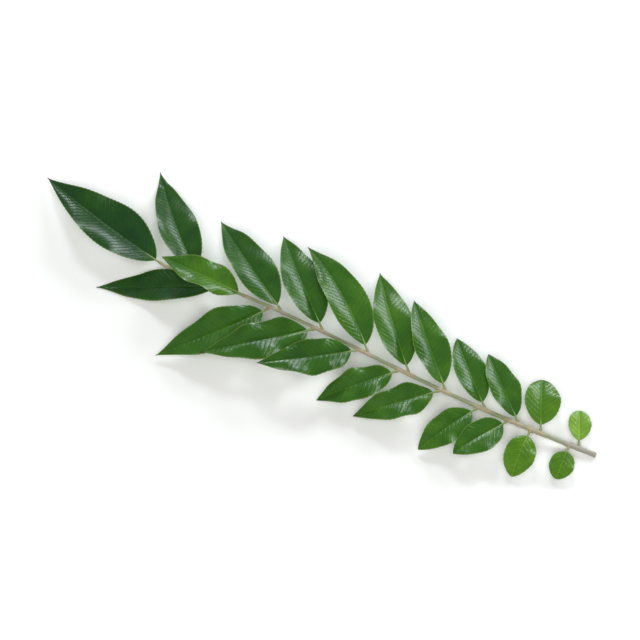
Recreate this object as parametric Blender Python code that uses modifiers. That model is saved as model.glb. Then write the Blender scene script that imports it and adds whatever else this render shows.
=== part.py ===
"""Curry leaf sprig: one cut compound leaf, lying on a table.

A slim stalk (the rachis) carries leaflets on both sides, alternately, and one at its end. The first
leaflets at the cut end are small and round, the others long and pointed. The stalk arches a few
millimetres above the table, and the leaflets droop towards it. The frond rests on three low places
round its weight: the cut end, the flat underside of a low leaflet and the tip of the last side leaflet.

Metres, +Z up. The stalk runs along X, from its cut end at +X to the end leaflet at -X. The origin is
the middle of the sprig's outline, on the table.
"""

import math

import bmesh
import bpy
from mathutils import Matrix, Vector

MM = 0.001

# The sprig's place: its stalk is cut at CUT_END_X, and STALK_Y puts the whole outline round the origin.
CUT_END_X = 124.2 * MM
STALK_Y = -3.7 * MM

# The stalk
STALK_LENGTH = 187.0 * MM
STALK_RADIUS_START = 0.88 * MM
STALK_RADIUS_END = 0.50 * MM
CUT_FLARE = 0.17 * MM
CUT_FLARE_LENGTH = 5.0 * MM
STALK_REST_Z = 0.94 * MM
STALK_RISE = 8.5 * MM
STALK_RISE_SPAN = 262.0 * MM
STALK_SWAY = 2.0 * MM
STALK_SWAY_SPAN = 210.0 * MM
NODE_SWELL = 0.15 * MM
NODE_SWELL_LENGTH = 2.2 * MM
STALK_STEPS = 46
STALK_SIDES = 10

# The leaflet's own short stalk
LEAF_STALK_RADIUS = 0.54 * MM
LEAF_STALK_TIP_RADIUS = 0.38 * MM
LEAF_STALK_LEAST = 3.0 * MM
LEAF_STALK_SHARE = 0.02
LEAF_STALK_SUNK = 0.085
LEAF_STALK_STEPS = 5
LEAF_STALK_SIDES = 6

# The blades
BLADE_THICKNESS = 0.70 * MM
NECK_HALF_WIDTH = 0.34 * MM
TIP_HALF_WIDTH = 0.30 * MM
BLADE_STEPS = 14
BLADE_STEPS_SMALL = 9
SMALL_BLADE = 24.0 * MM
BLADE_COLUMNS = 4
PATH_STEPS = 40
BEND_MIDDLE = 0.4
DROOP_POWER = 1.15
TABLE_GAP = 0.26 * MM
SETTLE_SOFTNESS = 0.9 * MM
TABLE_TRIM_DEPTH = 5.0 * MM
TABLE_TRIM_WIDTH = 500.0 * MM
WELD_DISTANCE = 0.01 * MM
SHARP_ANGLE = 40

# The blade's outline: the powers that round its tip and its shoulder, on short blades and on long ones
ROUND_LENGTH = 12.0 * MM
POINTED_SPAN = 30.0 * MM
ROUND_TIP = 0.62
POINTED_TIP = 1.24
ROUND_SHOULDER = 0.62
LONG_SHOULDER = 0.72
SHOULDER_SPAN = 40.0 * MM
UNEVEN_HALVES = 0.06

# The blade's fold along its midrib, as a rise to each unit of half width, and how much it flattens out
# towards the margin, on the half nearer to the cut and on the half nearer to the stalk's end
FOLD = 0.42
NEAR_FLATTENING = 0.09
FAR_FLATTENING = 0.19
LEAN_LOSS = 0.5

# The margin's waves: how many there are to the blade, how far the station moves them, and how far they
# shift from one margin to the other
OUTLINE_WAVE = (2.7, 0.37, 2.4)
OUTLINE_WAVE_DEPTH = 0.25
LONG_RIPPLE = (2.1, 0.13, 1.7)
SHORT_RIPPLE = (3.1, 0.29, -2.0)
SHORT_RIPPLE_HEIGHT = 0.4

# The finish
LEAF_GREEN = (0.035, 0.115, 0.020, 1.0)
LEAF_ROUGHNESS = 0.38

# Leaflets, counted from the cut end. side is +1 towards +Y and -1 towards -Y, and 0 for the end leaflet.
# station is where it leaves the stalk and length is its blade's, both in mm. splay is the angle between
# it and the way that the stalk grows, rise its first slope, droop how far it has turned down by its tip,
# lean how far it leans, bend how far it curves sideways to the tip, in degrees. wave is how far its
# margin waves up and down, as a share of its half width.
# (name, side, station, length, width, splay, rise, droop, lean, bend, wave)
LEAFLETS = (
    ("left_01", 1, 7, 12.5, 9.0, 68, 14, 28.5, 4, 4, 0.03),
    ("right_01", -1, 11, 12.0, 9.8, 92, 10, 23, 4, -6, 0.05),
    ("left_02", 1, 23, 20.0, 14.2, 69, 16, 42, 8, 6, 0.04),
    ("right_02", -1, 27, 17.5, 12.2, 90, 9, 30, 6, -12, 0.06),
    ("left_03", 1, 32, 28.0, 12.2, 43, 21.5, 38, 18, 10, 0.06),
    ("right_03", -1, 36, 23.5, 12.6, 56, 15, 24, 15, -4, 0.09),
    ("left_04", 1, 46, 30.5, 12.6, 46, 11, 36.5, 12, 12, 0.06),
    ("right_04", -1, 49, 26.0, 12.6, 58, 5, 26.5, 10, -4, 0.13),
    ("left_05", 1, 63, 37.5, 14.0, 47, 21, 41, 19, 10, 0.09),
    ("right_05", -1, 65, 33.0, 13.2, 40, 6, 26, 9, 6, 0.22),
    ("left_06", 1, 79, 44.5, 15.6, 51, 10.5, 38, 12, 12, 0.11),
    ("right_06", -1, 83, 32.0, 13.0, 42, 3, 28, 8, 4, 0.26),
    ("left_07", 1, 97, 50.0, 16.0, 40, 17.5, 42, 14, -14, 0.09),
    ("right_07", -1, 101, 38.0, 14.2, 36, 19, 27, 19, 14, 0.25),
    ("left_08", 1, 117, 45.0, 16.0, 45, 10, 40.5, 13, 10, 0.08),
    ("right_08", -1, 120, 43.5, 15.6, 37, 8, 20, 15, 8, 0.25),
    ("left_09", 1, 135, 47.5, 15.8, 34, 11, 42, 12, 12, 0.1),
    ("right_09", -1, 140, 46.0, 16.6, 46, -1.5, 15.5, 14, 10, 0.17),
    ("left_10", 1, 151, 35.0, 13.6, 0, 24, 44, 16, 14, 0.15),
    ("right_10", -1, 161, 50.0, 15.0, 19, -14, 6, -8, -12, 0.08),
    ("left_11", 1, 172, 51.0, 15.6, 46, 2, 32, 10, 14, 0.09),
    ("end", 0, 187, 60.0, 20.0, 15, 1, 13, 6, 10, 0.08),
)


def stalk_point(station):
    """The stalk's centre, this far from its cut end: an arch, with a slight sway from side to side."""
    sway = STALK_SWAY * math.sin(math.tau * station / STALK_SWAY_SPAN)
    rise = STALK_RISE * math.sin(math.pi * station / STALK_RISE_SPAN)
    return Vector((CUT_END_X - station, STALK_Y - sway, STALK_REST_Z + rise))


def stalk_radius(station):
    """The stalk tapers, widens at the cut, and swells a little where each leaflet leaves it."""
    share = station / STALK_LENGTH
    radius = STALK_RADIUS_START + (STALK_RADIUS_END - STALK_RADIUS_START) * share
    radius += CUT_FLARE * math.exp(-station / CUT_FLARE_LENGTH)
    for leaflet in LEAFLETS:
        away = (station - leaflet[2] * MM) / NODE_SWELL_LENGTH
        radius += NODE_SWELL * math.exp(-away * away)
    return radius


def leaf_stalk_length(length):
    """A longer leaflet has a longer stalk of its own."""
    return LEAF_STALK_LEAST + LEAF_STALK_SHARE * length


def leaflet_path(leaflet):
    """The leaflet's midrib as points from the stalk's centre to the tip, evenly spaced."""
    _, side, station, length, _, splay, rise, droop, _, bend, _ = leaflet
    turn = side if side else 1
    length = length * MM
    whole = leaf_stalk_length(length) + length
    point = stalk_point(station * MM)
    points = [point]
    for step in range(PATH_STEPS):
        share = (step + 0.5) / PATH_STEPS
        heading = math.radians(splay * turn + bend * (share - BEND_MIDDLE))
        slope = math.radians(rise - droop * share**DROOP_POWER)
        flat = math.cos(slope)
        way = Vector((-flat * math.cos(heading), flat * math.sin(heading), math.sin(slope)))
        point = point + way * (whole / PATH_STEPS)
        points.append(point)
    return points


def along(points, share):
    """The place and the direction on a path of evenly spaced points, at this share of its length."""
    place = min(max(share, 0.0), 1.0) * (len(points) - 1)
    first = min(int(place), len(points) - 2)
    way = points[first + 1] - points[first]
    return points[first] + way * (place - first), way.normalized()


def outline(share, length):
    """The blade's half width as a share of its greatest: round on small leaflets, drawn out on long ones."""
    longer = min(1.0, max(0.0, (length - ROUND_LENGTH) / POINTED_SPAN))
    point = ROUND_TIP + (POINTED_TIP - ROUND_TIP) * longer
    shoulder = ROUND_SHOULDER + (LONG_SHOULDER - ROUND_SHOULDER) * min(1.0, length / SHOULDER_SPAN)
    widest = shoulder / (shoulder + point)
    top = widest**shoulder * (1 - widest) ** point
    share = min(max(share, 0.0), 1.0)
    return share**shoulder * (1 - share) ** point / top


def settled(z):
    """Height above the table: what would sink through it is pressed smoothly onto it instead."""
    over = z - TABLE_GAP
    return TABLE_GAP + 0.5 * (over + math.sqrt(over * over + SETTLE_SOFTNESS**2))


def ripple(kind, share, station, across):
    """One wave of the margin, from -1 to 1. No two leaflets have it alike."""
    count, start, shift = kind
    return math.sin(math.tau * (count * share + start * station) + shift * across)


def blade_point(leaflet, points, share, across):
    """A point of the blade's middle surface. share runs from its neck to its tip, across from -1 to 1."""
    _, side, station, length, width, _, _, _, lean, _, waviness = leaflet
    turn = side if side else 1
    length = length * MM
    neck = leaf_stalk_length(length) / (leaf_stalk_length(length) + length)
    middle, way = along(points, neck + (1 - neck) * share)
    turned = math.radians(lean) * turn * (1 - LEAN_LOSS * share)
    level = way.cross(Vector((0, 0, 1))).normalized()
    out = Matrix.Rotation(turned, 3, way) @ level
    up = out.cross(way)
    least = NECK_HALF_WIDTH + (TIP_HALF_WIDTH - NECK_HALF_WIDTH) * share
    half = max(least, width * MM / 2 * outline(share, length))
    half *= 1 + UNEVEN_HALVES * across * turn * (1 - share)
    half *= 1 + OUTLINE_WAVE_DEPTH * waviness * ripple(OUTLINE_WAVE, share, station, across)
    flattening = NEAR_FLATTENING if across * turn > 0 else FAR_FLATTENING
    fold = FOLD * abs(across) - flattening * across * across
    margin = ripple(LONG_RIPPLE, share, station, across)
    margin += SHORT_RIPPLE_HEIGHT * ripple(SHORT_RIPPLE, share, station, across)
    wave = waviness * margin * across * across
    point = middle + out * (across * half) + up * (half * (fold + wave))
    point.z = settled(point.z)
    return point


def new_object(name, mesh, collection):
    made = bpy.data.objects.new(name, mesh)
    collection.objects.link(made)
    return made


def blade(leaflet, points, collection):
    """One leaflet's blade: a grid, bent to the leaf's surface, split alike on both faces and thickened."""
    name, _, _, length, *_ = leaflet
    steps = BLADE_STEPS_SMALL if length * MM < SMALL_BLADE else BLADE_STEPS
    shape = bmesh.new()
    bmesh.ops.create_grid(shape, x_segments=steps, y_segments=BLADE_COLUMNS, size=0.5)
    for vertex in shape.verts:
        share = 0.5 + vertex.co.x
        across = 2 * vertex.co.y
        vertex.co = blade_point(leaflet, points, share, across)
    bmesh.ops.triangulate(shape, faces=shape.faces[:])
    mesh = bpy.data.meshes.new("blade_" + name)
    shape.to_mesh(mesh)
    shape.free()
    made = new_object("blade_" + name, mesh, collection)
    thicken = made.modifiers.new("thickness", "SOLIDIFY")
    thicken.thickness = BLADE_THICKNESS
    thicken.offset = 0
    return made


def tube(name, centres, radii, sides, collection):
    """A round stem through these centres, as a closed mesh. A bevelled curve has 4 sides and 2 a step."""
    curve = bpy.data.curves.new(name, "CURVE")
    curve.dimensions = "3D"
    curve.bevel_depth = 1.0
    curve.bevel_resolution = (sides - 4) // 2
    curve.use_fill_caps = True
    spline = curve.splines.new("POLY")
    spline.points.add(len(centres) - 1)
    for point, centre, radius in zip(spline.points, centres, radii):
        point.co = (*centre, 1.0)
        point.radius = radius
    bent = new_object(name, curve, collection)
    bpy.context.view_layer.update()
    mesh = bpy.data.meshes.new_from_object(bent.evaluated_get(bpy.context.evaluated_depsgraph_get()))
    bpy.data.objects.remove(bent)
    closed = bmesh.new()
    closed.from_mesh(mesh)
    bmesh.ops.remove_doubles(closed, verts=closed.verts[:], dist=WELD_DISTANCE)
    closed.to_mesh(mesh)
    closed.free()
    return new_object(name, mesh, collection)


def main_stalk(collection):
    stations = [STALK_LENGTH * step / STALK_STEPS for step in range(STALK_STEPS + 1)]
    centres = [stalk_point(station) for station in stations]
    radii = [stalk_radius(station) for station in stations]
    return tube("stalk", centres, radii, STALK_SIDES, collection)


def leaf_stalk(leaflet, points, collection):
    """The leaflet's own stalk, from the middle of the main stalk to inside the blade's neck."""
    name, _, _, length, *_ = leaflet
    length = length * MM
    neck = leaf_stalk_length(length) / (leaf_stalk_length(length) + length)
    reach = neck + LEAF_STALK_SUNK
    shares = [reach * step / LEAF_STALK_STEPS for step in range(LEAF_STALK_STEPS + 1)]
    centres = [along(points, share)[0] for share in shares]
    for centre in centres:
        centre.z = settled(centre.z)
    spread = LEAF_STALK_TIP_RADIUS - LEAF_STALK_RADIUS
    radii = [LEAF_STALK_RADIUS + spread * share / reach for share in shares]
    return tube("leaf_stalk_" + name, centres, radii, LEAF_STALK_SIDES, collection)


def leaf_material():
    """Fresh leaf green, with a waxy gloss."""
    material = bpy.data.materials.new("leaf_green")
    material.use_nodes = True
    surface = material.node_tree.nodes["Principled BSDF"]
    surface.inputs["Base Color"].default_value = LEAF_GREEN
    surface.inputs["Roughness"].default_value = LEAF_ROUGHNESS
    surface.inputs["Metallic"].default_value = 0.0
    return material


def joined(body, collection, operation):
    """Applies one Boolean between the body and everything in the collection."""
    cut = body.modifiers.new(operation.lower(), "BOOLEAN")
    cut.operation = operation
    cut.operand_type = "COLLECTION"
    cut.collection = collection
    cut.solver = "EXACT"
    bpy.context.view_layer.update()
    evaluated = body.evaluated_get(bpy.context.evaluated_depsgraph_get())
    mesh = bpy.data.meshes.new_from_object(evaluated)
    body.modifiers.clear()
    body.data = mesh
    for used in list(collection.objects):
        bpy.data.objects.remove(used)


def table_block(collection):
    """A block under the table's top: it trims what touches the table to small flat spots."""
    shape = bmesh.new()
    bmesh.ops.create_cube(shape, size=1.0)
    size = Vector((TABLE_TRIM_WIDTH, TABLE_TRIM_WIDTH, TABLE_TRIM_DEPTH))
    bmesh.ops.scale(shape, vec=size, verts=shape.verts)
    bmesh.ops.translate(shape, vec=Vector((0, 0, -TABLE_TRIM_DEPTH / 2)), verts=shape.verts)
    mesh = bpy.data.meshes.new("table_block")
    shape.to_mesh(mesh)
    shape.free()
    made = new_object("table_block", mesh, collection)
    made.display_type = "WIRE"
    made.hide_render = True
    return made


def main():
    for old in list(bpy.data.objects):
        bpy.data.objects.remove(old)
    sprig = bpy.data.collections.new("curry_leaf_sprig")
    repeats = bpy.data.collections.new("leaflets_to_join")
    cutters = bpy.data.collections.new("cutters")
    for collection in (sprig, repeats, cutters):
        bpy.context.scene.collection.children.link(collection)

    frond = main_stalk(sprig)
    frond.name = "frond"
    for leaflet in LEAFLETS:
        points = leaflet_path(leaflet)
        leaf_stalk(leaflet, points, repeats)
        blade(leaflet, points, repeats)
    joined(frond, repeats, "UNION")
    table_block(cutters)
    joined(frond, cutters, "DIFFERENCE")

    frond.data.name = "frond"
    frond.data.materials.clear()
    frond.data.materials.append(leaf_material())
    frond.data.shade_smooth()
    frond.data.set_sharp_from_angle(angle=math.radians(SHARP_ANGLE))


main()
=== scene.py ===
# %% [markdown]
# # A curry leaf sprig on a white table
#
# The sprig is one compound leaf, cut from its branch. A slim stalk carries leaflets on both sides,
# by turns, and one at its end. The first ones at the cut are small and round, the others long and
# pointed. The plain solid has that form already, so this lesson gives it fine leaflets, stems and
# finishes, each on the same lines as the solid. We begin by loading the solid and keeping its size.

# %% Load the plain solid
import math
from collections import namedtuple

import bmesh
import bpy
from mathutils import Matrix, Vector


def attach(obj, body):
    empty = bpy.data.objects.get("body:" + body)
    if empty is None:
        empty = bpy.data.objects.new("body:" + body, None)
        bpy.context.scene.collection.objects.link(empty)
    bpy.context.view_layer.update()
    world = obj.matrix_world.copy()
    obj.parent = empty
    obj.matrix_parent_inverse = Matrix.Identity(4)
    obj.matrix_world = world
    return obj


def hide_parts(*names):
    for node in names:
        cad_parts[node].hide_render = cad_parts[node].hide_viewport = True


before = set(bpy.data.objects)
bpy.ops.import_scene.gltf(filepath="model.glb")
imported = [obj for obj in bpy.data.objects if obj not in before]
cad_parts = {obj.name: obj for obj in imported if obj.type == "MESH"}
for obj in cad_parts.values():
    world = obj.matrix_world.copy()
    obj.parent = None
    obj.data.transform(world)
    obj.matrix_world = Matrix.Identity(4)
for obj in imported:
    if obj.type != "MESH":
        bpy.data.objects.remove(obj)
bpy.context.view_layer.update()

MM = 0.001

# %% [markdown]
# ## Camera
#
# The photo looks down steeply, with the cut end of the stalk at the lower right. A long lens from a
# metre away gives its flat perspective. The camera is placed by an angle round the table and a
# height angle, because those two can be read off the photo one after the other.

# %% Camera
VIEW_ROUND = math.radians(24.2)
VIEW_HEIGHT = math.radians(68.0)
VIEW_DISTANCE = 1.06
VIEW_AIM = Vector((0.003, 0.003, 0.004))
LENS_LENGTH = 150.0
SENSOR_WIDTH = 36.0

back = Vector((math.sin(VIEW_ROUND) * math.cos(VIEW_HEIGHT),
               -math.cos(VIEW_ROUND) * math.cos(VIEW_HEIGHT),
               math.sin(VIEW_HEIGHT)))
camera_data = bpy.data.cameras.new("camera")
camera_data.lens = LENS_LENGTH
camera_data.sensor_width = SENSOR_WIDTH
camera = bpy.data.objects.new("camera", camera_data)
camera.location = VIEW_AIM + back * VIEW_DISTANCE
camera.rotation_euler = (-back).to_track_quat("-Z", "Y").to_euler()
bpy.context.scene.collection.objects.link(camera)
bpy.context.scene.camera = camera
print("camera stands at", [round(value, 3) for value in camera.location])

# %% [markdown]
# ## Table
#
# The table is a plain white sheet. A grid is enough for it, and it is so much wider than the sprig
# that its edge never comes into view. It belongs to the stage, so it doesn't count in the sprig's
# size.

# %% Table
TABLE_HALF_WIDTH = 3.0
TABLE_WHITE = (0.93, 0.93, 0.92, 1.0)
TABLE_ROUGHNESS = 0.7

table_shape = bmesh.new()
bmesh.ops.create_grid(table_shape, x_segments=2, y_segments=2, size=TABLE_HALF_WIDTH)
table_mesh = bpy.data.meshes.new("table")
table_shape.to_mesh(table_mesh)
table_shape.free()
table = bpy.data.objects.new("table", table_mesh)
bpy.context.scene.collection.objects.link(table)

white = bpy.data.materials.new("white_table")
white.use_nodes = True
white_surface = white.node_tree.nodes["Principled BSDF"]
white_surface.inputs["Base Color"].default_value = TABLE_WHITE
white_surface.inputs["Roughness"].default_value = TABLE_ROUGHNESS
table_mesh.materials.append(white)
print("table:", 2 * TABLE_HALF_WIDTH, "m wide")

# %% [markdown]
# ## Light
#
# Leaves are waxy, so what matters most is where each lamp is mirrored. A broad, low window beyond
# the sprig draws the pale sheen on the far leaflets, on the halves nearer to the sprig's end. A
# smaller window beside it, a little higher, does the same for the near leaflets. Neither is tall,
# because a tall one would whiten the other halves too. The general light comes from a large lamp on
# the viewer's side and a pale world. That lamp is hidden from reflections, which leaves the other
# halves their deep green.

# %% Light
DAYLIGHT = (0.90, 0.97, 1.0)
ROOM_LIGHT = (1.0, 0.98, 0.95)
WALL_LIGHT = (0.95, 0.98, 1.0, 1.0)
WALL_STRENGTH = 0.26
WINDOW_DISTANCE = 1.3
FILL_DISTANCE = 1.6


def broad_lamp(name, direction, distance, width, height, power, colour):
    """A flat lamp in this direction from the sprig, turned to face it."""
    data = bpy.data.lights.new(name, "AREA")
    data.shape = "RECTANGLE"
    data.size = width
    data.size_y = height
    data.energy = power
    data.color = colour
    lamp = bpy.data.objects.new(name, data)
    place = Vector(direction).normalized()
    lamp.location = place * distance
    lamp.rotation_euler = (-place).to_track_quat("-Z", "Y").to_euler()
    bpy.context.scene.collection.objects.link(lamp)
    return lamp


broad_lamp("window_lamp", (0.30, 0.86, 0.40), WINDOW_DISTANCE,
           width=0.85, height=0.36, power=9.2, colour=DAYLIGHT)
broad_lamp("side_window_lamp", (-0.34, 0.70, 0.62), WINDOW_DISTANCE,
           width=0.42, height=0.30, power=5.6, colour=DAYLIGHT)
fill = broad_lamp("fill_lamp", (0.20, -0.50, 1.0), FILL_DISTANCE,
                  width=1.2, height=1.2, power=19.0, colour=ROOM_LIGHT)
fill.visible_glossy = False

room = bpy.data.worlds.new("pale_room")
room.use_nodes = True
room.node_tree.nodes["Background"].inputs["Color"].default_value = WALL_LIGHT
room.node_tree.nodes["Background"].inputs["Strength"].default_value = WALL_STRENGTH
bpy.context.scene.world = room
bpy.context.scene.view_settings.view_transform = "Standard"

# %% [markdown]
# ## How the sprig lies
#
# The stalk is a long low arch with a slight sway. Every leaflet is a row of plain numbers: the side
# it grows on, how far from the cut it starts, its blade's length and width, the angles at which it
# splays, rises, droops, leans and bends, and how much its margin waves. These are the solid's own
# numbers, so the fine leaflets lie exactly where the plain ones do.

# %% Sizes of the stalk and the leaflets
CUT_END_X = 124.2 * MM
STALK_Y = -3.7 * MM
STALK_LENGTH = 187.0 * MM
STALK_RADIUS_START = 0.88 * MM
STALK_RADIUS_END = 0.50 * MM
CUT_FLARE = 0.17 * MM
CUT_FLARE_LENGTH = 5.0 * MM
STALK_REST_Z = 0.94 * MM
STALK_RISE = 8.5 * MM
STALK_RISE_SPAN = 262.0 * MM
STALK_SWAY = 2.0 * MM
STALK_SWAY_SPAN = 210.0 * MM

# side is 1 towards +Y, -1 towards -Y and 0 at the stalk's end. station, length and width are in
# millimetres, and the angles in degrees.
Leaflet = namedtuple("Leaflet", "name side station length width splay rise droop lean bend wave")
LEAFLETS = tuple(Leaflet(*row) for row in (
    ("left_01", 1, 7, 12.5, 9.0, 68, 14, 28.5, 4, 4, 0.03),
    ("right_01", -1, 11, 12.0, 9.8, 92, 10, 23, 4, -6, 0.05),
    ("left_02", 1, 23, 20.0, 14.2, 69, 16, 42, 8, 6, 0.04),
    ("right_02", -1, 27, 17.5, 12.2, 90, 9, 30, 6, -12, 0.06),
    ("left_03", 1, 32, 28.0, 12.2, 43, 21.5, 38, 18, 10, 0.06),
    ("right_03", -1, 36, 23.5, 12.6, 56, 15, 24, 15, -4, 0.09),
    ("left_04", 1, 46, 30.5, 12.6, 46, 11, 36.5, 12, 12, 0.06),
    ("right_04", -1, 49, 26.0, 12.6, 58, 5, 26.5, 10, -4, 0.13),
    ("left_05", 1, 63, 37.5, 14.0, 47, 21, 41, 19, 10, 0.09),
    ("right_05", -1, 65, 33.0, 13.2, 40, 6, 26, 9, 6, 0.22),
    ("left_06", 1, 79, 44.5, 15.6, 51, 10.5, 38, 12, 12, 0.11),
    ("right_06", -1, 83, 32.0, 13.0, 42, 3, 28, 8, 4, 0.26),
    ("left_07", 1, 97, 50.0, 16.0, 40, 17.5, 42, 14, -14, 0.09),
    ("right_07", -1, 101, 38.0, 14.2, 36, 19, 27, 19, 14, 0.25),
    ("left_08", 1, 117, 45.0, 16.0, 45, 10, 40.5, 13, 10, 0.08),
    ("right_08", -1, 120, 43.5, 15.6, 37, 8, 20, 15, 8, 0.25),
    ("left_09", 1, 135, 47.5, 15.8, 34, 11, 42, 12, 12, 0.1),
    ("right_09", -1, 140, 46.0, 16.6, 46, -1.5, 15.5, 14, 10, 0.17),
    ("left_10", 1, 151, 35.0, 13.6, 0, 24, 44, 16, 14, 0.15),
    ("right_10", -1, 161, 50.0, 15.0, 19, -14, 6, -8, -12, 0.08),
    ("left_11", 1, 172, 51.0, 15.6, 46, 2, 32, 10, 14, 0.09),
    ("end", 0, 187, 60.0, 20.0, 15, 1, 13, 6, 10, 0.08),
))
print("leaflets:", len(LEAFLETS), "on a stalk of", round(STALK_LENGTH / MM), "mm")

# %% [markdown]
# ## The lines that everything follows
#
# Curves drawn by hand would never meet well at 22 places, so formulas carry the whole sprig. One
# gives the stalk's centre at any distance from the cut. Another walks from that point along a
# leaflet's midrib, turning a little at each step, and keeps the points.

# %% Stalk line and midrib lines
NODE_SWELL = 0.15 * MM
NODE_SWELL_LENGTH = 2.2 * MM
LEAF_STALK_LEAST = 3.0 * MM
LEAF_STALK_SHARE = 0.02
PATH_STEPS = 40
BEND_MIDDLE = 0.4
DROOP_POWER = 1.15


def stalk_point(station):
    """The stalk's centre, this far from its cut end."""
    sway = STALK_SWAY * math.sin(math.tau * station / STALK_SWAY_SPAN)
    rise = STALK_RISE * math.sin(math.pi * station / STALK_RISE_SPAN)
    return Vector((CUT_END_X - station, STALK_Y - sway, STALK_REST_Z + rise))


def swelling(station):
    """1 where a leaflet leaves the stalk, and 0 between the leaflets."""
    near = min(abs(station - leaflet.station * MM) for leaflet in LEAFLETS)
    return math.exp(-((near / NODE_SWELL_LENGTH) ** 2))


def leaf_stalk_length(length):
    """A longer leaflet has a longer stalk of its own."""
    return LEAF_STALK_LEAST + LEAF_STALK_SHARE * length


def neck_share(leaflet):
    """Where the blade begins, as a share of the way from the stalk's centre to the tip."""
    length = leaflet.length * MM
    return leaf_stalk_length(length) / (leaf_stalk_length(length) + length)


def leaflet_path(leaflet):
    """The leaflet's midrib as points from the stalk's centre to the tip, evenly spaced."""
    turn = leaflet.side or 1
    length = leaflet.length * MM
    whole = leaf_stalk_length(length) + length
    point = stalk_point(leaflet.station * MM)
    points = [point]
    for step in range(PATH_STEPS):
        share = (step + 0.5) / PATH_STEPS
        heading = math.radians(leaflet.splay * turn + leaflet.bend * (share - BEND_MIDDLE))
        slope = math.radians(leaflet.rise - leaflet.droop * share**DROOP_POWER)
        flat = math.cos(slope)
        way = Vector((-flat * math.cos(heading), flat * math.sin(heading), math.sin(slope)))
        point = point + way * (whole / PATH_STEPS)
        points.append(point)
    return points


def along(points, share):
    """The place and the direction on a path of evenly spaced points, at this share of its length."""
    place = min(max(share, 0.0), 1.0) * (len(points) - 1)
    first = min(int(place), len(points) - 2)
    way = points[first + 1] - points[first]
    return points[first] + way * (place - first), way.normalized()


print("the stalk's centre rises from", round(STALK_REST_Z / MM, 1),
      "to", round(stalk_point(STALK_RISE_SPAN / 2).z / MM, 1), "mm above the table")

# %% [markdown]
# ## A blade's outline
#
# A leaflet is widest below its middle. Two powers multiplied give such an outline: one rounds the
# shoulder and the other draws out the tip, and short blades get rounder ones. What would sink
# through the table is pressed softly onto it, as a limp leaf is.

# %% Outline of a blade
# The least half width at the neck and the tip, what is left of it at the very tip, and how late it
# narrows to that
NECK_HALF_WIDTH = 0.34 * MM
TIP_HALF_WIDTH = 0.30 * MM
TIP_POINT = 0.25
TIP_SUDDENNESS = 30

# How far above the table a blade's middle surface is kept, and how softly it is pressed down
TABLE_GAP = 0.26 * MM
SETTLE_SOFTNESS = 0.9 * MM

# The powers that round the outline's tip and its shoulder, on short blades and on long ones
ROUND_LENGTH = 12.0 * MM
POINTED_SPAN = 30.0 * MM
ROUND_TIP = 0.62
POINTED_TIP = 1.24
ROUND_SHOULDER = 0.62
LONG_SHOULDER = 0.72
SHOULDER_SPAN = 40.0 * MM


def outline(share, length):
    """The blade's half width as a share of its greatest: round if small, drawn out if long."""
    longer = min(1.0, max(0.0, (length - ROUND_LENGTH) / POINTED_SPAN))
    point = ROUND_TIP + (POINTED_TIP - ROUND_TIP) * longer
    shoulder = ROUND_SHOULDER + (LONG_SHOULDER - ROUND_SHOULDER) * min(1.0, length / SHOULDER_SPAN)
    widest = shoulder / (shoulder + point)
    top = widest**shoulder * (1 - widest) ** point
    share = min(max(share, 0.0), 1.0)
    return share**shoulder * (1 - share) ** point / top


def settled(z):
    """Height above the table: what would sink through it is pressed smoothly onto it instead."""
    over = z - TABLE_GAP
    return TABLE_GAP + 0.5 * (over + math.sqrt(over * over + SETTLE_SOFTNESS**2))


print("outline of a 50 mm blade, in tenths of its length:",
      [round(outline(tenth / 10, 50 * MM), 2) for tenth in range(11)])

# %% [markdown]
# ## Fold and waves
#
# Across the blade, each half rises from the midrib and flattens out towards the margin. The half
# nearer to the cut stays steeper, which turns it away from the window and keeps it dark. The margin
# waves by sums of sines, and the leaflet's place on the stalk shifts them, so that no two leaflets
# wave alike and no random draw is needed. Fine scallops at the margin are the scene's own.

# %% Any point of a blade
FOLD = 0.42
NEAR_FLATTENING = 0.09
FAR_FLATTENING = 0.19
LEAN_LOSS = 0.5
UNEVEN_HALVES = 0.06
SCALLOP_DEPTH = 0.010
SCALLOP_LENGTH = 1.7 * MM
SCALLOP_POWER = 6

# How many waves there are to the blade, how far the station moves them, and how far they shift
# from one margin to the other
OUTLINE_WAVE = (2.7, 0.37, 2.4)
OUTLINE_WAVE_DEPTH = 0.25
LONG_RIPPLE = (2.1, 0.13, 1.7)
SHORT_RIPPLE = (3.1, 0.29, -2.0)
SHORT_RIPPLE_HEIGHT = 0.4


def half_width(leaflet, share):
    """Half the blade's width here, in metres."""
    least = NECK_HALF_WIDTH + (TIP_HALF_WIDTH - NECK_HALF_WIDTH) * share
    least *= TIP_POINT + (1 - TIP_POINT) * math.sqrt(max(0.0, 1 - share**TIP_SUDDENNESS))
    return max(least, leaflet.width * MM / 2 * outline(share, leaflet.length * MM))


def ripple(kind, share, station, across):
    """One wave of the margin, from -1 to 1. No two leaflets have it alike."""
    count, start, shift = kind
    return math.sin(math.tau * (count * share + start * station) + shift * across)


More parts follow.
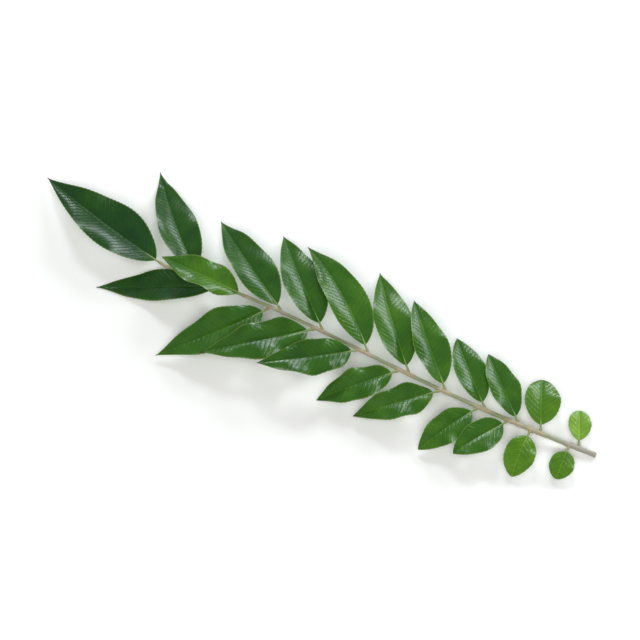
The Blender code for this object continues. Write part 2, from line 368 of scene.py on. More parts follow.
def blade_point(leaflet, points, share, across):
    """A point of the blade's middle surface. share runs from its neck to its tip, across from -1 to 1."""
    turn = leaflet.side or 1
    length = leaflet.length * MM
    neck = neck_share(leaflet)
    middle, way = along(points, neck + (1 - neck) * share)
    turned = math.radians(leaflet.lean) * turn * (1 - LEAN_LOSS * share)
    level = way.cross(Vector((0, 0, 1))).normalized()
    out = Matrix.Rotation(turned, 3, way) @ level
    up = out.cross(way)
    half = half_width(leaflet, share)
    half *= 1 + UNEVEN_HALVES * across * turn * (1 - share)
    half *= 1 + OUTLINE_WAVE_DEPTH * leaflet.wave * ripple(OUTLINE_WAVE, share, leaflet.station, across)
    flattening = NEAR_FLATTENING if across * turn > 0 else FAR_FLATTENING
    fold = FOLD * abs(across) - flattening * across * across
    margin = ripple(LONG_RIPPLE, share, leaflet.station, across)
    margin += SHORT_RIPPLE_HEIGHT * ripple(SHORT_RIPPLE, share, leaflet.station, across)
    wave = leaflet.wave * margin * across * across
    scallop = SCALLOP_DEPTH * math.sin(math.tau * share * length / SCALLOP_LENGTH) * across**SCALLOP_POWER
    point = middle + out * (across * half * (1 + scallop)) + up * (half * (fold + wave))
    point.z = settled(point.z)
    return point


print("half width of the end leaflet's middle:", round(half_width(LEAFLETS[-1], 0.5) / MM, 1), "mm")

# %% [markdown]
# ## Relief of a blade
#
# A leaf blade is a thin sheet, about 0.3 millimetres thick. Its midrib lies in a shallow groove on
# top, side veins run from it to the margin, and the leaf puffs up slightly between them. This
# relief is real geometry, because a sheen that slides over it breaks up at each vein, and bump
# alone would leave the blade smooth from the side.

# %% Relief of a blade
BLADE_THICKNESS = 0.30 * MM
PUFF = 0.050 * MM
GROOVE = 0.13 * MM
GROOVE_WIDTH = 0.55 * MM
VEIN_SPACING = 2.1 * MM
VEIN_LEAN = 0.50
VEIN_ARCH = 0.32
RIB_CLEARANCE = 1.2 * MM
FULL_PUFF_HALF_WIDTH = 3.0 * MM
FULL_GROOVE_HALF_WIDTH = 2.0 * MM
MARGIN_THINNING = 0.45
MARGIN_POWER = 4
UNDERSIDE_PUFF = 0.6


def vein_place(leaflet, share, across):
    """Counts the side veins along the blade: a whole number on a vein, which leans and arches forward."""
    half = half_width(leaflet, share)
    forward = half * (VEIN_LEAN * abs(across) + VEIN_ARCH * across * across)
    return (share * leaflet.length * MM - forward) / VEIN_SPACING


def relief(leaflet, share, across):
    """How far the upper and the lower face stand from the middle surface."""
    half = half_width(leaflet, share)
    out = abs(across) * half
    puff = 0.5 - 0.5 * math.cos(math.tau * vein_place(leaflet, share, across))
    fade = min(1.0, out / RIB_CLEARANCE) * (1 - across**MARGIN_POWER) * min(1.0, half / FULL_PUFF_HALF_WIDTH)
    groove = GROOVE * math.exp(-((out / GROOVE_WIDTH) ** 2)) * min(1.0, half / FULL_GROOVE_HALF_WIDTH)
    thin = BLADE_THICKNESS / 2 * (1 - MARGIN_THINNING * across**MARGIN_POWER)
    return thin + PUFF * puff * fade - groove, thin - UNDERSIDE_PUFF * PUFF * puff * fade


print("side veins on each half of the end blade:", round(LEAFLETS[-1].length * MM / VEIN_SPACING))

# %% [markdown]
# ## A blade from a grid
#
# We bend a flat grid to the leaf's surface, extrude it once for the underside, and then move each
# vertex along its normal by the relief at that place. Solidify could close the sheet too, but it
# gives both faces the same relief. The grid remembers how far along and across each vertex is, so
# the relief and the colours go by the same two numbers.

# %% A blade from a grid
BLADE_COLUMNS = 28
ROWS_PER_MM = 3.0
LEAST_ROWS = 20
EVEN_ROWS = 0.55
PLACE_DIGITS = 6


def blade_rows(length):
    """How many rows of faces a blade of this length in millimetres gets."""
    return int(ROWS_PER_MM * length) + LEAST_ROWS


def fine_share(place):
    """Spaces the rows closer at the neck and the tip, where the outline turns fastest."""
    return EVEN_ROWS * place + (1 - EVEN_ROWS) * (0.5 - 0.5 * math.cos(math.pi * place))


def add_blade(shape, leaflet, points):
    """Bends a grid to the leaflet's surface, closes it with an underside, and raises its relief."""
    grid = bmesh.ops.create_grid(
        shape, x_segments=blade_rows(leaflet.length), y_segments=BLADE_COLUMNS, size=0.5)
    share_of = shape.verts.layers.float["share"]
    across_of = shape.verts.layers.float["across"]
    upper = grid["verts"]
    for vertex in upper:
        vertex[share_of] = fine_share(0.5 + vertex.co.x)
        vertex[across_of] = 2 * vertex.co.y
        vertex.co = blade_point(leaflet, points, vertex[share_of], vertex[across_of])
    faces = shape.faces[:]
    bmesh.ops.reverse_faces(shape, faces=faces)
    shape.normal_update()

    def place(vertex):
        """Where the vertex is on the blade, rounded so that its copy gives the same."""
        return round(vertex[share_of], PLACE_DIGITS), round(vertex[across_of], PLACE_DIGITS)

    # Each lower vertex is a copy, so it finds the normal of the upper one by its place on the blade.
    normal_at = {place(vertex): vertex.normal.copy() for vertex in upper}
    made = bmesh.ops.extrude_face_region(shape, geom=faces, use_keep_orig=True)["geom"]
    lower_faces = [item for item in made if isinstance(item, bmesh.types.BMFace)]
    lower = {vertex for face in lower_faces for vertex in face.verts}
    for vertex in upper:
        up, _ = relief(leaflet, vertex[share_of], vertex[across_of])
        vertex.co += normal_at[place(vertex)] * up
    for vertex in lower:
        _, down = relief(leaflet, vertex[share_of], vertex[across_of])
        vertex.co -= normal_at[place(vertex)] * down
    for face in lower_faces:
        face.material_index = 1


lengths = [leaflet.length for leaflet in LEAFLETS]
print("rows of faces on the shortest and the longest blade:",
      blade_rows(min(lengths)), "and", blade_rows(max(lengths)))

# %% [markdown]
# ## Stems
#
# The stalk, the leaflets' own stalks and the ribs under the blades are all round stems that taper.
# Each one is a small circle, extruded ring after ring along its line. Every vertex remembers its
# angle round the stem, so a new ring can be placed by formula: that makes the stalk's faint ridges
# and the flat channel on its upper side, which a bevelled curve couldn't have.

# %% One ring of a stem
RIDGES = 7
RIDGE_HEIGHT = 0.035
CHANNEL_DEPTH = 0.10
CHANNEL_WIDTH = 0.5
ABOVE_TABLE = 0.01 * MM


def place_ring(ring, angle_of, centre, way, radius, ridges):
    """Puts a ring of vertices round a centre, square to the way that the stem runs."""
    side = way.cross(Vector((0, 0, 1))).normalized()
    top = side.cross(way)
    for vertex in ring:
        angle = vertex[angle_of]
        channel = CHANNEL_DEPTH * math.exp(-(((angle - math.pi / 2) / CHANNEL_WIDTH) ** 2))
        ridge = RIDGE_HEIGHT * math.cos(RIDGES * angle)
        grown = radius * (1 + ridges * (ridge - channel))
        vertex.co = centre + side * (grown * math.cos(angle)) + top * (grown * math.sin(angle))
        vertex.co.z = max(vertex.co.z, ABOVE_TABLE)


print("a stem has", RIDGES, "ridges and one channel on top")

# %% [markdown]
# ## A stem from an extruded circle
#
# Extruding only the ring's edges gives one band of side faces at a time and no inner walls. The two
# end rings are filled at last, so that the stem is a closed solid, as the real one is.

# %% A stem from an extruded circle
STALK_SIDES = 28
STALK_RIDGES = 1.0


def add_stem(shape, centres, radii, sides, ridges):
    """Extrudes a circle through the centres, and closes both ends. Returns the faces and the first cap."""
    angle_of = shape.verts.layers.float["angle"]
    share_of = shape.verts.layers.float["share"]
    ring = bmesh.ops.create_circle(shape, cap_ends=False, segments=sides, radius=1.0)["verts"]
    for vertex in ring:
        vertex[angle_of] = math.atan2(vertex.co.y, vertex.co.x)
    edges = list(dict.fromkeys(edge for vertex in ring for edge in vertex.link_edges))
    first_edges = edges
    body = []
    for step, (centre, radius) in enumerate(zip(centres, radii)):
        if step:
            made = bmesh.ops.extrude_edge_only(shape, edges=edges)["geom"]
            ring = [item for item in made if isinstance(item, bmesh.types.BMVert)]
            inside = set(ring)
            edges = [item for item in made if isinstance(item, bmesh.types.BMEdge)
                     and all(vertex in inside for vertex in item.verts)]
            body += [item for item in made if isinstance(item, bmesh.types.BMFace)]
        ahead = centres[min(step + 1, len(centres) - 1)] - centres[max(step - 1, 0)]
        place_ring(ring, angle_of, centre, ahead.normalized(), radius, ridges)
        for vertex in ring:
            vertex[share_of] = step / (len(centres) - 1)
    caps = []
    for end in (first_edges, edges):
        caps += bmesh.ops.contextual_create(shape, geom=end)["faces"]
    return body + caps, caps[0]


trial = bmesh.new()
for name in ("share", "angle"):
    trial.verts.layers.float.new(name)
trial_faces, _ = add_stem(trial, [stalk_point(0.0), stalk_point(MM)], [MM, MM], STALK_SIDES, STALK_RIDGES)
print("one step of a stem has", len(trial_faces), "faces, its two caps among them")
trial.free()

# %% [markdown]
# ## Finished pieces
#
# A piece is a mesh with its own finishes. Its numbers per vertex, such as how far along the blade
# a vertex lies, are kept as named attributes, which the materials read later. One helper turns a
# bmesh into such a piece and says which part of the solid it stands for.

# %% From a bmesh to a piece
RIM_ANGLE = 50


def start_shape():
    """An empty bmesh with the numbers that every vertex carries."""
    shape = bmesh.new()
    for name in ("share", "across", "angle"):
        shape.verts.layers.float.new(name)
    return shape


def finish_piece(name, shape, materials):
    """Makes the bmesh an object, smooth but for its sharp rims, in the solid's place."""
    mesh = bpy.data.meshes.new(name)
    shape.to_mesh(mesh)
    shape.free()
    for material in materials:
        mesh.materials.append(material)
    mesh.shade_smooth()
    mesh.set_sharp_from_angle(angle=math.radians(RIM_ANGLE))
    piece = bpy.data.objects.new(name, mesh)
    bpy.context.scene.collection.objects.link(piece)
    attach(piece, "root")
    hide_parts("frond")
    return piece


def set_numbers(mesh, name, numbers):
    """Keeps one number for each vertex under this name, for the materials."""
    kept = mesh.attributes.new(name, "FLOAT", "POINT")
    kept.data.foreach_set("value", numbers)


def get_numbers(mesh, name):
    """The numbers kept for each vertex under this name."""
    numbers = [0.0] * len(mesh.vertices)
    mesh.attributes[name].data.foreach_get("value", numbers)
    return numbers


empty = start_shape()
print("numbers that every vertex carries:", empty.verts.layers.float.keys())
empty.free()

# %% [markdown]
# ## Helpers for the finishes
#
# Node trees are easier to read when each node is one line. One helper makes a node and fills its
# inputs, either with a plain value or with another node's output. The others make what most masks
# are built from: a soft step between two values, one step of arithmetic, and cloudy noise.

# %% Node helpers
def plug(tree, value, socket):
    """Sets a socket to a plain value, or links another node's output to it."""
    if isinstance(value, bpy.types.NodeSocket):
        tree.links.new(value, socket)
    else:
        socket.default_value = value


def add_node(tree, kind, settings=None, **inputs):
    """Adds a node. settings are its own properties, and inputs go by their sockets' names or as i0, i1."""
    node = tree.nodes.new(kind)
    for name, value in (settings or {}).items():
        setattr(node, name, value)
    for name, value in inputs.items():
        place = int(name[1:]) if name[1:].isdigit() else name.replace("_", " ")
        plug(tree, value, node.inputs[place])
    return node


def soft_step(tree, value, none, full):
    """0 up to none, 1 from full on, and a soft step between. It falls where none is above full."""
    settings = {"interpolation_type": "SMOOTHSTEP"}
    node = add_node(tree, "ShaderNodeMapRange", settings, Value=value, From_Min=none, From_Max=full)
    return node.outputs["Result"]


def calculate(tree, operation, first, second=0.0, third=0.0):
    """One Math node."""
    node = add_node(tree, "ShaderNodeMath", {"operation": operation}, i0=first, i1=second, i2=third)
    return node.outputs[0]


def noise(tree, place, scale, detail, roughness=0.5):
    """Cloudy noise from 0 to 1."""
    node = add_node(tree, "ShaderNodeTexNoise", Vector=place, Scale=scale, Detail=detail, Roughness=roughness)
    return node.outputs["Fac"]


print("node helpers:", add_node.__name__, soft_step.__name__, calculate.__name__, noise.__name__)

# %% [markdown]
# ## Colours, attributes and groups
#
# A finish is built up like paint, one colour over another through a mask. Most masks come from
# numbers kept with the mesh, because a vein has to follow its own blade, and a pattern in plain
# space would run straight through all of them. Effects that several finishes use are groups. Every
# finish starts alike and ends alike, so there is a helper for either.

# %% Colour, finish and group helpers
FINE_RELIEF = 0.08 * MM


def mixed(tree, share, first, second, blend="MIX"):
    """One colour mixed into another. A Mix node keeps its colours in sockets 6 and 7 and output 2."""
    settings = {"data_type": "RGBA", "blend_type": blend}
    return add_node(tree, "ShaderNodeMix", settings, i0=share, i6=first, i7=second).outputs[2]


def painted(tree, colour, paint, mask, strength):
    """A colour with paint over it, through a mask and at this strength."""
    return mixed(tree, calculate(tree, "MULTIPLY", mask, strength), colour, paint)


def attribute(tree, name):
    """A number kept with the mesh."""
    return add_node(tree, "ShaderNodeAttribute", {"attribute_name": name}).outputs["Fac"]


def start_finish(name):
    """A new material, its node tree, its surface, and the place of each point of the piece."""
    material = bpy.data.materials.new(name)
    material.use_nodes = True
    tree = material.node_tree
    position = add_node(tree, "ShaderNodeTexCoord").outputs["Object"]
    return material, tree, tree.nodes["Principled BSDF"], position


def end_finish(tree, surface, colour, roughness, height, strength, relief_depth=FINE_RELIEF):
    """Gives the surface its colour, its roughness and the fine relief of a height."""
    plug(tree, colour, surface.inputs["Base Color"])
    plug(tree, roughness, surface.inputs["Roughness"])
    bump = add_node(tree, "ShaderNodeBump", Height=height, Strength=strength, Distance=relief_depth)
    plug(tree, bump.outputs["Normal"], surface.inputs["Normal"])


def new_group(name, inputs, outputs):
    """An empty node group with these sockets, given as (name, kind)."""
    group = bpy.data.node_groups.new(name, "ShaderNodeTree")
    for label, kind in inputs:
        group.interface.new_socket(label, in_out="INPUT", socket_type=kind)
    for label, kind in outputs:
        group.interface.new_socket(label, in_out="OUTPUT", socket_type=kind)
    return group, group.nodes.new("NodeGroupInput").outputs, group.nodes.new("NodeGroupOutput").inputs


print("colour and group helpers:", mixed.__name__, painted.__name__, attribute.__name__, new_group.__name__)

# %% [markdown]
# ## Veins as a mask
#
# All blades share one vein pattern: the midrib, the side veins, and between them a net of much finer
# ones. It is a node group, so that the upper and the lower finish can both use it and can't drift
# apart. It puts out masks only: each material decides for itself what a vein looks like.

# %% Group: leaf veins
# The midrib's half width in millimetres at the neck, how much it loses to the tip, and its soft edge
MIDRIB_HALF_WIDTH = 0.42
MIDRIB_NARROWING = 0.22
MIDRIB_EDGE = (1.3, 0.35)

# The side veins' soft edge and their wobble, as shares of the space between two veins, and the
# millimetres from the margin over which they end
SIDE_VEIN_EDGE = (0.15, 0.02)
SIDE_VEIN_WOBBLE = 0.30
WOBBLE_SCALE = 260.0
SIDE_VEIN_END = (0.3, 1.2)

NET_SCALE = 1500.0
NET_EDGE = (0.22, 0.02)


def make_vein_group():
    """Masks that are 1 on the midrib, on the side veins and on the fine net."""
    group, inside, out = new_group(
        "leaf_veins",
        [("Position", "NodeSocketVector")],
        [("Midrib", "NodeSocketFloat"), ("Side veins", "NodeSocketFloat"), ("Fine net", "NodeSocketFloat")])
    share = attribute(group, "share")
    half_rib = calculate(group, "MULTIPLY_ADD", share, -MIDRIB_NARROWING, MIDRIB_HALF_WIDTH)
    in_half_ribs = calculate(group, "DIVIDE", attribute(group, "from_midrib"), half_rib)
    midrib = soft_step(group, in_half_ribs, *MIDRIB_EDGE)
    wobble = noise(group, inside["Position"], WOBBLE_SCALE, detail=2.0)
    place = calculate(group, "MULTIPLY_ADD", wobble, SIDE_VEIN_WOBBLE, attribute(group, "vein_place"))
    side = soft_step(group, calculate(group, "PINGPONG", place, 0.5), *SIDE_VEIN_EDGE)
    before_margin = soft_step(group, attribute(group, "from_margin"), *SIDE_VEIN_END)
    side = calculate(group, "MULTIPLY", side, before_margin)
    net = add_node(group, "ShaderNodeTexVoronoi", {"feature": "DISTANCE_TO_EDGE"},
                   Vector=inside["Position"], Scale=NET_SCALE)
    fine = soft_step(group, net.outputs["Distance"], *NET_EDGE)
    for name, mask in (("Midrib", midrib), ("Side veins", side), ("Fine net", fine)):
        group.links.new(mask, out[name])
    return group


leaf_veins = make_vein_group()
vein_outputs = [item.name for item in leaf_veins.interface.items_tree if item.in_out == "OUTPUT"]
print("vein group puts out:", vein_outputs)

# %% [markdown]
# ## Upper side of a blade
#
# Fresh curry leaves go from yellow-green on the small first leaflets to a deep, slightly blue green
# towards the end of the sprig. The attribute called age carries that, and a ramp turns it into a
# green. On top come soft mottling, a paler midrib, faint side veins, and for some leaflets a brown
# tip. The margin is paler too, partly its own colour and partly a painted edge highlight. The wax is
# an uneven gloss, so that the window shows as a pale sheen that breaks up over the veins.

# %% Finish: leaf upper side
GREENS = (
    (0.0, (0.175, 0.340, 0.040)),
    (0.25, (0.072, 0.182, 0.010)),
    (0.5, (0.031, 0.110, 0.008)),
    (0.78, (0.012, 0.058, 0.008)),
    (1.0, (0.006, 0.031, 0.010)),
)
PATCH_SCALE = 95.0
PATCHINESS = 0.56

# The paler green of the veins, as a factor, and how strongly it shows on each kind of them
PALER = (2.1, 1.75, 1.9, 1.0)
SIDE_VEIN_PALENESS = 0.22
NET_PALENESS = 0.10
MIDRIB_PALENESS = 0.55

# How many millimetres the pale margin, partly a painted edge highlight, reaches in, and the shares between
# which it fades to the tip
PALE_MARGIN_AND_EDGE_HIGHLIGHT = (0.180, 0.290, 0.060, 1.0)
MARGIN_EDGE = (0.50, 0.05)
MARGIN_STOP = (0.985, 0.90)
PALE_MARGIN_AND_HIGHLIGHT_STRENGTH = 0.55
TIP_BROWN = (0.060, 0.040, 0.018, 1.0)
TIP_EDGE = (0.4, 0.9)

# The wax: its least roughness, what its blotches add, and how much it mirrors
WAX_ROUGHNESS = 0.11
BLOTCH_ROUGHNESS = 0.24
BLOTCH_SCALE = 420.0
WAX_SHINE = 0.38

# How high the blotches stand and how deep the veins lie, as shares of the fine relief
BLOTCH_HEIGHT = 0.85
SIDE_VEIN_HEIGHT = -1.05
NET_HEIGHT = -0.22


def make_leaf_top():
    """Greens by age, with paler veins, a pale margin that is partly a painted edge highlight, brown tips and
    an uneven wax.
    """
    material, tree, surface, position = start_finish("leaf_upper_side")
    veins = add_node(tree, "ShaderNodeGroup", {"node_tree": leaf_veins}, Position=position).outputs

    ramp = add_node(tree, "ShaderNodeValToRGB")
    patches = noise(tree, position, PATCH_SCALE, detail=4.0, roughness=0.6)
    lively = calculate(tree, "MULTIPLY_ADD", patches, PATCHINESS, -PATCHINESS / 2)
    plug(tree, calculate(tree, "ADD", attribute(tree, "age"), lively), ramp.inputs["Fac"])
    while len(ramp.color_ramp.elements) < len(GREENS):
        ramp.color_ramp.elements.new(0.5)
    for stop, (place, colour) in zip(ramp.color_ramp.elements, GREENS):
        stop.position = place
        stop.color = (*colour, 1.0)

    green = ramp.outputs["Color"]
    pale = mixed(tree, 1.0, green, PALER, "MULTIPLY")
    green = painted(tree, green, pale, veins["Side veins"], SIDE_VEIN_PALENESS)
    green = painted(tree, green, pale, veins["Fine net"], NET_PALENESS)
    green = painted(tree, green, pale, veins["Midrib"], MIDRIB_PALENESS)
    # Pale margin: partly the leaf's own paler edge and partly a painted edge highlight, fading before the
    # tip.
    margin = soft_step(tree, attribute(tree, "from_margin"), *MARGIN_EDGE)
    before_tip = soft_step(tree, attribute(tree, "share"), *MARGIN_STOP)
    margin = calculate(tree, "MULTIPLY", margin, before_tip)
    green = painted(tree, green, PALE_MARGIN_AND_EDGE_HIGHLIGHT, margin, PALE_MARGIN_AND_HIGHLIGHT_STRENGTH)
    tip = soft_step(tree, attribute(tree, "tip_brown"), *TIP_EDGE)
    colour = mixed(tree, tip, green, TIP_BROWN)

    blotches = noise(tree, position, BLOTCH_SCALE, detail=4.0, roughness=0.6)
    rough = calculate(tree, "MULTIPLY_ADD", blotches, BLOTCH_ROUGHNESS, WAX_ROUGHNESS)
    height = calculate(tree, "MULTIPLY", veins["Side veins"], SIDE_VEIN_HEIGHT)
    height = calculate(tree, "MULTIPLY_ADD", veins["Fine net"], NET_HEIGHT, height)
    height = calculate(tree, "MULTIPLY_ADD", blotches, BLOTCH_HEIGHT, height)
    end_finish(tree, surface, colour, rough, height, strength=0.6)
    surface.inputs["Specular IOR Level"].default_value = WAX_SHINE
    return material


leaf_top = make_leaf_top()
print("upper side:", len(leaf_top.node_tree.nodes), "nodes,", len(GREENS), "greens")

# %% [markdown]
# ## Underside of a blade
#
# The underside is paler, greyer and dull, and its veins stand proud instead of lying sunk. It shows
# only where a margin curls up, and from low angles, but a sprig can be turned over, so it gets
# its own finish.

# %% Finish: leaf underside
UNDER_GREENS = ((0.110, 0.215, 0.075, 1.0), (0.165, 0.285, 0.100, 1.0))
UNDER_OLD = (0.060, 0.135, 0.060, 1.0)
UNDER_VEIN = (0.230, 0.350, 0.140, 1.0)
UNDER_NET = (0.200, 0.310, 0.120, 1.0)
UNDER_OLD_STRENGTH = 0.45
UNDER_VEIN_STRENGTH = 0.4
UNDER_NET_STRENGTH = 0.2
UNDER_PATCH_SCALE = 140.0
UNDER_ROUGHNESS = 0.55
UNDER_PATCH_ROUGHNESS = 0.15
UNDER_NET_HEIGHT = 0.4


def make_leaf_under():
    """Greyer greens, darker with age, with raised veins and no wax."""
    material, tree, surface, position = start_finish("leaf_underside")
    veins = add_node(tree, "ShaderNodeGroup", {"node_tree": leaf_veins}, Position=position).outputs

    patches = noise(tree, position, UNDER_PATCH_SCALE, detail=4.0)
    green = mixed(tree, patches, *UNDER_GREENS)
    green = painted(tree, green, UNDER_OLD, attribute(tree, "age"), UNDER_OLD_STRENGTH)
    green = painted(tree, green, UNDER_VEIN, veins["Side veins"], UNDER_VEIN_STRENGTH)
    green = painted(tree, green, UNDER_NET, veins["Fine net"], UNDER_NET_STRENGTH)
    rough = calculate(tree, "MULTIPLY_ADD", patches, UNDER_PATCH_ROUGHNESS, UNDER_ROUGHNESS)
    height = calculate(tree, "MULTIPLY_ADD", veins["Fine net"], UNDER_NET_HEIGHT, veins["Side veins"])
    end_finish(tree, surface, green, rough, height, strength=0.6)
    return material


leaf_under = make_leaf_under()
print("underside:", len(leaf_under.node_tree.nodes), "nodes")

# %% [markdown]
# ## Stems and ribs
#
# The stalk is olive between the leaflets, tan where it swells at each one, and greyish brown at its
# cut end. Long faint streaks run along it. They come from noise that is read by the angle round the
# stem and the distance along it, so they follow every bend. The leaflets' own stalks are the same
# bark, browner at the root, and the ribs under the blades fade from it into pale green.

# %% Finish: stem bark
# How closely the streaks follow each other round the stem and along it, and how dark the darkest is
STREAK_SCALE = 2.4
STREAKS_ROUND = 2.6
STREAKS_ALONG = 0.16
DARK_STREAK = 0.72
BARK_ROUGHNESS = 0.42
STREAK_ROUGHNESS = 0.25

# Where the bark turns tan, by the knob's share, and grey, by millimetres from the cut
TAN_EDGE = (0.12, 0.85)
GREY_EDGE = (26.0, 3.0)

PORE = (0.42, 0.36, 0.25, 1.0)
PORE_SCALE = 2600.0
PORE_EDGE = (0.60, 0.70)
PORE_STRENGTH = 0.35
PORE_HEIGHT = 0.5


def make_bark(name, olive, tan, grey):
    """Streaked bark, tan where the stem swells and grey at the cut, with small pale pores."""
    material, tree, surface, position = start_finish(name)
    station = attribute(tree, "station")
    angle = attribute(tree, "angle")
    lengthwise = add_node(tree, "ShaderNodeCombineXYZ",
                          X=calculate(tree, "MULTIPLY", angle, STREAKS_ROUND),
                          Y=calculate(tree, "SINE", angle),
                          Z=calculate(tree, "MULTIPLY", station, STREAKS_ALONG))
    streaks = noise(tree, lengthwise.outputs[0], STREAK_SCALE, detail=5.0, roughness=0.6)
    specks = noise(tree, position, PORE_SCALE, detail=3.0)

    dark_olive = tuple(DARK_STREAK * part for part in olive)
    colour = mixed(tree, streaks, (*dark_olive, 1.0), (*olive, 1.0))
    colour = mixed(tree, soft_step(tree, attribute(tree, "knob"), *TAN_EDGE), colour, (*tan, 1.0))
    colour = mixed(tree, soft_step(tree, station, *GREY_EDGE), colour, (*grey, 1.0))
    colour = painted(tree, colour, PORE, soft_step(tree, specks, *PORE_EDGE), PORE_STRENGTH)
    rough = calculate(tree, "MULTIPLY_ADD", streaks, STREAK_ROUGHNESS, BARK_ROUGHNESS)
    height = calculate(tree, "MULTIPLY_ADD", specks, PORE_HEIGHT, streaks)
    end_finish(tree, surface, colour, rough, height, strength=0.5)
    return material


stalk_bark = make_bark(
    "stalk_bark", olive=(0.330, 0.370, 0.205), tan=(0.400, 0.340, 0.225), grey=(0.340, 0.310, 0.265))
rib_bark = make_bark(
    "leaf_stalk_bark", olive=(0.250, 0.350, 0.120), tan=(0.360, 0.290, 0.165), grey=(0.300, 0.290, 0.200))
print("barks:", stalk_bark.name, "and", rib_bark.name)

# %% [markdown]
# ## Cut end
#
# Where the sprig was cut, a pale green ring of wood surrounds a creamy pith, and the edge has begun
# to dry. The face is flat, so its finish goes by the distance from its centre.

# %% Finish: cut face
PITH = (0.560, 0.520, 0.330, 1.0)
WOOD = (0.330, 0.360, 0.160, 1.0)
DRIED_RIM = (0.170, 0.120, 0.075, 1.0)
CUT_ROUGHNESS = 0.62
CUT_RELIEF = 0.1 * MM
FIBRE_SCALE = 5200.0

# Where the wood and the dried rim begin, in millimetres from the centre, and how ragged that is
WOOD_EDGE = (0.50, 0.62)
DRIED_EDGE = (0.95, 1.08)
RAGGEDNESS = 0.22


def make_cut_face():
    """Rings of pith, wood and dried rim round the stalk's centre."""
    material, tree, surface, position = start_finish("stalk_cut_face")
    centre = tuple(stalk_point(0.0))
    away = add_node(tree, "ShaderNodeVectorMath", {"operation": "DISTANCE"}, i0=position, i1=centre)
    out = calculate(tree, "MULTIPLY", away.outputs["Value"], 1 / MM)
    fibres = noise(tree, position, FIBRE_SCALE, detail=2.0)
    ring = calculate(tree, "MULTIPLY_ADD", fibres, RAGGEDNESS, out)
    colour = mixed(tree, soft_step(tree, ring, *WOOD_EDGE), PITH, WOOD)
    colour = mixed(tree, soft_step(tree, ring, *DRIED_EDGE), colour, DRIED_RIM)
    end_finish(tree, surface, colour, CUT_ROUGHNESS, fibres, strength=0.6, relief_depth=CUT_RELIEF)
    return material


cut_face = make_cut_face()
print("cut face is centred on", [round(value / MM, 1) for value in stalk_point(0.0)], "mm")

# %% [markdown]
# ## The stalk
#
# Now the pieces can be made. The stalk's rings stand half a millimetre apart, close enough for its
# swellings. Its first cap is the cut: it is inset once, so that the drying rim stands slightly
# proud of the wood inside it.

# %% Build the stalk
STALK_RINGS = 374
CUT_RIM_WIDTH = 0.10 * MM
CUT_RIM_HEIGHT = 0.06 * MM


def stalk_radius(station):
    """The stalk tapers, widens at the cut, and swells a little where each leaflet leaves it."""
    radius = STALK_RADIUS_START + (STALK_RADIUS_END - STALK_RADIUS_START) * station / STALK_LENGTH
    radius += CUT_FLARE * math.exp(-station / CUT_FLARE_LENGTH)
    return radius + NODE_SWELL * swelling(station)


stations = [STALK_LENGTH * step / STALK_RINGS for step in range(STALK_RINGS + 1)]
stalk_shape = start_shape()
stalk_faces, cut_cap = add_stem(
    stalk_shape, [stalk_point(station) for station in stations],
    [stalk_radius(station) for station in stations], STALK_SIDES, STALK_RIDGES)
bmesh.ops.recalc_face_normals(stalk_shape, faces=stalk_faces)
bmesh.ops.inset_region(stalk_shape, faces=[cut_cap], thickness=CUT_RIM_WIDTH,
                       depth=-CUT_RIM_HEIGHT, use_even_offset=True)
cut_cap.material_index = 1
stalk = finish_piece("stalk", stalk_shape, [stalk_bark, cut_face])
stalk_stations = [share * STALK_LENGTH / MM for share in get_numbers(stalk.data, "share")]
set_numbers(stalk.data, "station", stalk_stations)
set_numbers(stalk.data, "knob", [swelling(station * MM) for station in stalk_stations])
print("stalk:", len(stalk.data.polygons), "faces")

# %% [markdown]
# ## Age and brown tips
#
# Young leaflets are yellow-green and old ones deep green, and a few tips have dried brown. Both
# could come from a random draw, but here they were read off the photo, leaflet by leaflet, because
# the light ones at the cut and the dark ones at the end give the sprig its look.

# %% Age and brown tips
AGE = {
    "left_01": 0.06, "right_01": 0.30, "left_02": 0.30, "right_02": 0.24, "left_03": 0.52, "right_03": 0.50,
    "left_04": 0.51, "right_04": 0.45, "left_05": 0.50, "right_05": 0.50, "left_06": 0.46, "right_06": 0.48,
    "left_07": 0.50, "right_07": 0.58, "left_08": 0.57, "right_08": 0.55, "left_09": 0.63, "right_09": 0.56,
    "left_10": 0.42, "right_10": 0.76, "left_11": 0.74, "end": 0.82,
}
BROWN_TIPS = ("left_03", "right_05", "left_07", "right_08", "end")
print("lightest and darkest leaflet:", min(AGE, key=AGE.get), "and", max(AGE, key=AGE.get))

# %% [markdown]
# ## A leaflet's stem and rib
#
# Under each blade one stem does two jobs. It starts inside the main stalk and swells near its root,
# which is the joint where the leaflet will drop off one day. Past the neck it lies half in the blade
# and runs on as the midrib, thinner and thinner, to the tip. Making both in one run leaves no seam
# at the neck.

# %% A leaflet's stem and rib
LEAF_STALK_RADIUS = 0.54 * MM
LEAF_STALK_TIP_RADIUS = 0.38 * MM
RIB_STEPS = 70
RIB_SIDES = 14
RIB_RIDGES = 0.4

# The swelling near the leaflet stalk's root: its height, its place and its width, as shares
ROOT_SWELL = 0.30
ROOT_SWELL_PLACE = 0.42
ROOT_SWELL_WIDTH = 0.16

# Past the neck the rib sinks until it lies half in the blade, and tapers
SINK_SHARE = 0.10
SINK_IN_RADII = 0.62
SINK_UNDER_SHEET = 0.06 * MM
RIB_TAPER = 0.84
RIB_TAPER_POWER = 0.6
RIB_TABLE_GAP = 0.02 * MM


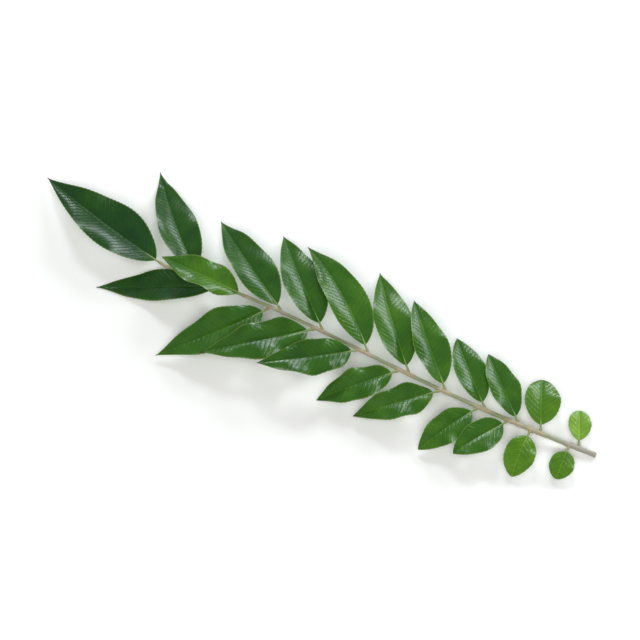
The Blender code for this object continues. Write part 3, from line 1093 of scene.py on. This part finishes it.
def rib_points(leaflet, points):
    """Centres and radii of the stem from inside the stalk to the blade's tip, just under the blade."""
    neck = neck_share(leaflet)
    centres, radii = [], []
    for step in range(RIB_STEPS + 1):
        share = step / RIB_STEPS
        centre, _ = along(points, share)
        centre.z = settled(centre.z)
        if share < neck:
            radius = LEAF_STALK_RADIUS + (LEAF_STALK_TIP_RADIUS - LEAF_STALK_RADIUS) * share / neck
            from_swell = (share / neck - ROOT_SWELL_PLACE) / ROOT_SWELL_WIDTH
            radius *= 1 + ROOT_SWELL * math.exp(-(from_swell**2))
            sunk = 0.0
        else:
            under = (share - neck) / (1 - neck)
            radius = LEAF_STALK_TIP_RADIUS * (1 - RIB_TAPER * under**RIB_TAPER_POWER)
            sunk = min(1.0, under / SINK_SHARE)
        centre.z -= sunk * (SINK_IN_RADII * radius + SINK_UNDER_SHEET)
        centre.z = max(centre.z, radius + RIB_TABLE_GAP)
        centres.append(centre)
        radii.append(radius)
    return centres, radii


_, end_radii = rib_points(LEAFLETS[-1], leaflet_path(LEAFLETS[-1]))
print("rib of the end leaflet, thickest and thinnest:",
      [round(2 * radius / MM, 2) for radius in (max(end_radii), min(end_radii))], "mm")

# %% [markdown]
# ## Build the leaflets
#
# Each leaflet is one piece, with its blade and its stem as two closed bodies and three finishes:
# upper side, underside and bark. After the shape is made, each vertex gets the numbers that the
# finishes read, such as its distance from the midrib in millimetres, so that a vein is equally
# wide on a small blade and on a large one.

# %% Build the leaflets
BROWN_FROM = 0.93
BROWN_SPAN = 0.05

# A leaflet's own stations start this far along, past the stalk's grey end
PAST_THE_CUT = 30.0


def build_leaflet(leaflet):
    """One leaflet with its blade, its stem, its finishes and the numbers that they read."""
    points = leaflet_path(leaflet)
    shape = start_shape()
    add_blade(shape, leaflet, points)
    blade_faces = shape.faces[:]
    centres, radii = rib_points(leaflet, points)
    rib_faces, _ = add_stem(shape, centres, radii, RIB_SIDES, RIB_RIDGES)
    for face in rib_faces:
        face.material_index = 2
    bmesh.ops.recalc_face_normals(shape, faces=blade_faces)
    bmesh.ops.recalc_face_normals(shape, faces=rib_faces)
    piece = finish_piece("leaflet_" + leaflet.name, shape, [leaf_top, leaf_under, rib_bark])
    mesh = piece.data
    shares = get_numbers(mesh, "share")
    acrosses = get_numbers(mesh, "across")
    halves = [half_width(leaflet, share) / MM for share in shares]
    set_numbers(mesh, "from_midrib", [abs(across) * half for across, half in zip(acrosses, halves)])
    set_numbers(mesh, "from_margin", [(1 - abs(across)) * half for across, half in zip(acrosses, halves)])
    places = [vein_place(leaflet, share, across) for share, across in zip(shares, acrosses)]
    set_numbers(mesh, "vein_place", places)
    set_numbers(mesh, "age", [AGE[leaflet.name]] * len(shares))
    brown = 1.0 if leaflet.name in BROWN_TIPS else 0.0
    browned = [brown * min(1.0, max(0.0, (share - BROWN_FROM) / BROWN_SPAN)) for share in shares]
    set_numbers(mesh, "tip_brown", browned)
    set_numbers(mesh, "station", [PAST_THE_CUT + share * leaflet.length for share in shares])
    set_numbers(mesh, "knob", [max(0.0, 1 - share / neck_share(leaflet)) for share in shares])
    return piece


leaflets = [build_leaflet(leaflet) for leaflet in LEAFLETS]
print("leaflets:", len(leaflets), "pieces,", sum(len(piece.data.polygons) for piece in leaflets), "faces")
